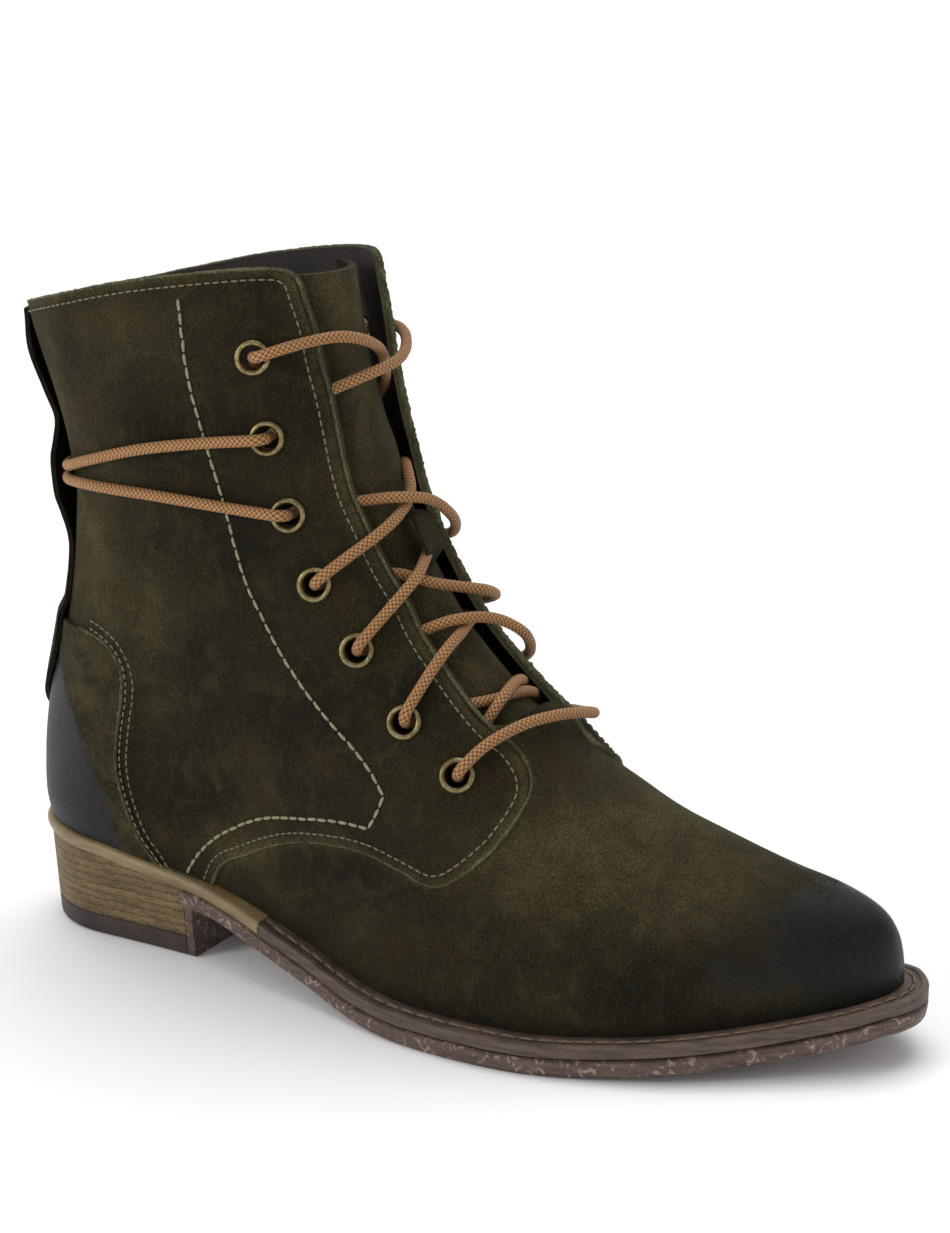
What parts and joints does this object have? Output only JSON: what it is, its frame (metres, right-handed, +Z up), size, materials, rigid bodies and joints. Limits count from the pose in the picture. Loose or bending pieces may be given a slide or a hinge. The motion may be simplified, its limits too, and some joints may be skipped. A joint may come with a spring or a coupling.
{
  "type": "ankle boot",
  "caption": "Lace-up derby ankle boot for the right foot: suede upper, heel counter, backstay, tongue, brass eyelets and round lace on a welted sole with a stacked heel.",
  "frame": {"origin": "on the floor, under the middle of the heel", "axes": "+X to the toe, +Y to the wearer's left, which is this right boot's inner side, +Z up out of the collar"},
  "size_m": [0.2781, 0.0997, 0.2058],
  "materials": {
    "suede": "matt napped suede, dark olive",
    "burnished_leather": "burnished, blue-black",
    "dark_leather": "matt, near black",
    "lining": "matt, dark brown",
    "sole": "matt brown, lightly scratched",
    "trim": "smooth, satin brown",
    "heel_stack": "stacked layers, matt, mustard brown",
    "heel_lift": "matt dark brown",
    "brass": "antique, brushed",
    "lace": "round braid, waxed, tan"
  },
  "bodies": {
    "root": {"outsole": "sole", "welt": "trim", "heel_rand": "trim", "heel_block": "heel_stack", "heel_lift": "heel_lift", "insole": "lining", "upper": "suede", "counter": "burnished_leather", "tongue": "suede", "backstay": "dark_leather", "tongue_keeper": "suede", "eyelet_outer_1": "brass", "eyelet_inner_1": "brass", "eyelet_outer_2": "brass", "eyelet_inner_2": "brass", "eyelet_outer_3": "brass", "eyelet_inner_3": "brass", "eyelet_outer_4": "brass", "eyelet_inner_4": "brass", "eyelet_outer_5": "brass", "eyelet_inner_5": "brass", "eyelet_outer_6": "brass", "eyelet_inner_6": "brass", "eyelet_outer_7": "brass", "eyelet_inner_7": "brass", "lace": "lace"}
  },
  "joints": []
}
